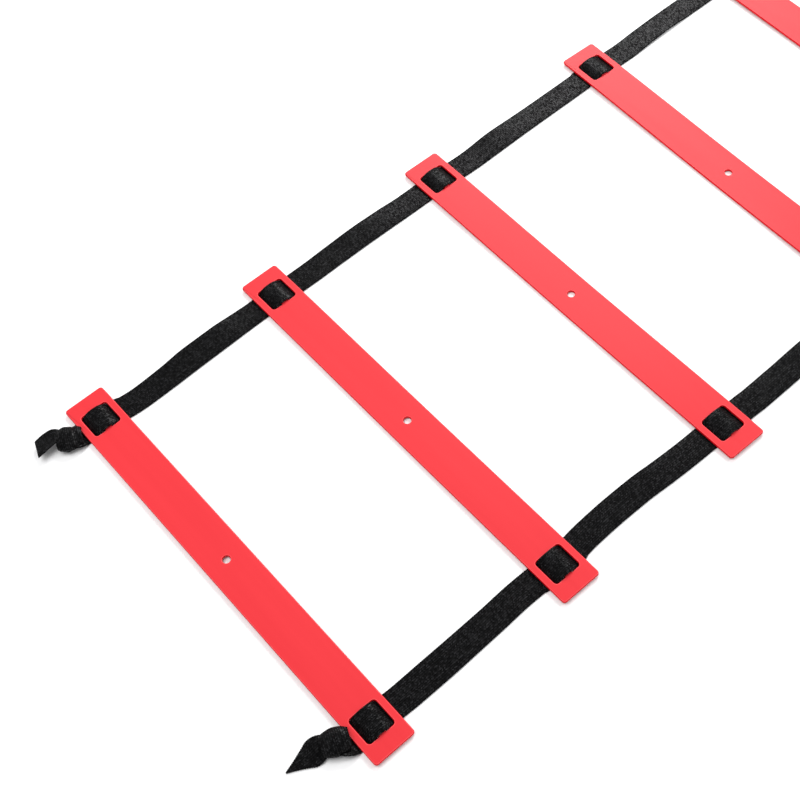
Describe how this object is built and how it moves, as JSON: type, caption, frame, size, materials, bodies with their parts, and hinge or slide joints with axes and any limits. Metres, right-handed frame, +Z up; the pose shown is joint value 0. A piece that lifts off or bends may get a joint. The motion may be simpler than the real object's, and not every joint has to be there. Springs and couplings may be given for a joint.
{
  "type": "agility ladder",
  "caption": "Flat agility ladder lying on the ground: slim red plastic rungs threaded on two black webbing straps that are knotted and cut at the ends.",
  "frame": {"origin": "middle of the ladder on the plane that its straps lie on", "axes": "+X along the ladder away from the end shown nearest, +Y along the rungs towards the left strap, +Z up out of the floor"},
  "size_m": [1.127, 0.4262, 0.0125],
  "materials": {
    "rung_plastic": "semi-gloss injection moulded plastic with softly rounded rims",
    "webbing": "black woven polypropylene webbing with a fine diagonal weave"
  },
  "bodies": {
    "webbing_1": {"left_run_1_near": "webbing", "left_fold_1": "webbing", "left_near_strap_end": "webbing", "left_near_knot": "webbing", "left_near_tail": "webbing", "right_run_1_near": "webbing", "right_fold_1": "webbing", "right_near_strap_end": "webbing", "right_near_knot": "webbing", "right_near_tail": "webbing"},
    "threaded_rung_1": {"rung_1": "rung_plastic", "left_threaded_1": "webbing", "right_threaded_1": "webbing"},
    "webbing_2": {"left_run_1_far": "webbing", "left_run_2_near": "webbing", "left_fold_2": "webbing", "right_run_1_far": "webbing", "right_run_2_near": "webbing", "right_fold_2": "webbing"},
    "threaded_rung_2": {"rung_2": "rung_plastic", "left_threaded_2": "webbing", "right_threaded_2": "webbing"},
    "webbing_3": {"left_run_2_far": "webbing", "left_run_3_near": "webbing", "left_fold_3": "webbing", "right_run_2_far": "webbing", "right_run_3_near": "webbing", "right_fold_3": "webbing"},
    "threaded_rung_3": {"rung_3": "rung_plastic", "left_threaded_3": "webbing", "right_threaded_3": "webbing"},
    "webbing_4": {"left_run_3_far": "webbing", "left_run_4_near": "webbing", "left_fold_4": "webbing", "right_run_3_far": "webbing", "right_run_4_near": "webbing", "right_fold_4": "webbing"},
    "threaded_rung_4": {"rung_4": "rung_plastic", "left_threaded_4": "webbing", "right_threaded_4": "webbing"},
    "webbing_5": {"left_run_4_far": "webbing", "left_run_5_near": "webbing", "left_fold_5": "webbing", "right_run_4_far": "webbing", "right_run_5_near": "webbing", "right_fold_5": "webbing"},
    "threaded_rung_5": {"rung_5": "rung_plastic", "left_threaded_5": "webbing", "right_threaded_5": "webbing"},
    "webbing_6": {"left_run_5_far": "webbing", "left_far_strap_end": "webbing", "left_far_knot": "webbing", "left_far_tail": "webbing", "right_run_5_far": "webbing", "right_far_strap_end": "webbing", "right_far_knot": "webbing", "right_far_tail": "webbing"},
    "threaded_rung_6": {"rung_6": "rung_plastic", "left_threaded_6": "webbing", "right_threaded_6": "webbing"}
  },
  "joints": [
    {"name": "fold_1", "type": "hinge", "parent": "webbing_1", "child": "webbing_2", "pos_m": [-0.393, 0, 0.0007], "axis": [0, -1, 0], "range_deg": [0, 160], "deforming": ["left_fold_1", "right_fold_1"]},
    {"name": "fold_2", "type": "hinge", "parent": "webbing_2", "child": "webbing_3", "pos_m": [-0.1981, 0, 0.0007], "axis": [0, 1, 0], "range_deg": [0, 160], "deforming": ["left_fold_2", "right_fold_2"]},
    {"name": "fold_3", "type": "hinge", "parent": "webbing_3", "child": "webbing_4", "pos_m": [0.00225, 0, 0.0007], "axis": [0, -1, 0], "range_deg": [0, 160], "deforming": ["left_fold_3", "right_fold_3"]},
    {"name": "fold_4", "type": "hinge", "parent": "webbing_4", "child": "webbing_5", "pos_m": [0.20035, 0, 0.0007], "axis": [0, 1, 0], "range_deg": [0, 160], "deforming": ["left_fold_4", "right_fold_4"]},
    {"name": "fold_5", "type": "hinge", "parent": "webbing_5", "child": "webbing_6", "pos_m": [0.393, 0, 0.0007], "axis": [0, -1, 0], "range_deg": [0, 160], "deforming": ["left_fold_5", "right_fold_5"]},
    {"name": "rung_1_shift", "type": "slide", "parent": "webbing_1", "child": "threaded_rung_1", "axis": [1, 0, 0], "range_m": [0, 0.03], "deforming": ["left_run_1_near", "left_near_strap_end", "right_run_1_near", "right_near_strap_end"]},
    {"name": "rung_2_shift", "type": "slide", "parent": "webbing_2", "child": "threaded_rung_2", "axis": [1, 0, 0], "range_m": [-0.03, 0.03], "deforming": ["left_run_1_far", "left_run_2_near", "right_run_1_far", "right_run_2_near"]},
    {"name": "rung_3_shift", "type": "slide", "parent": "webbing_3", "child": "threaded_rung_3", "axis": [1, 0, 0], "range_m": [-0.03, 0.03], "deforming": ["left_run_2_far", "left_run_3_near", "right_run_2_far", "right_run_3_near"]},
    {"name": "rung_4_shift", "type": "slide", "parent": "webbing_4", "child": "threaded_rung_4", "axis": [1, 0, 0], "range_m": [-0.03, 0.03], "deforming": ["left_run_3_far", "left_run_4_near", "right_run_3_far", "right_run_4_near"]},
    {"name": "rung_5_shift", "type": "slide", "parent": "webbing_5", "child": "threaded_rung_5", "axis": [1, 0, 0], "range_m": [-0.03, 0.03], "deforming": ["left_run_4_far", "left_run_5_near", "right_run_4_far", "right_run_5_near"]},
    {"name": "rung_6_shift", "type": "slide", "parent": "webbing_6", "child": "threaded_rung_6", "axis": [1, 0, 0], "range_m": [-0.03, 0], "deforming": ["left_run_5_far", "left_far_strap_end", "right_run_5_far", "right_far_strap_end"]}
  ],
  "couplings": [
    {"joint": "fold_2", "follows": "fold_1", "ratio": 1},
    {"joint": "fold_4", "follows": "fold_3", "ratio": 1}
  ]
}
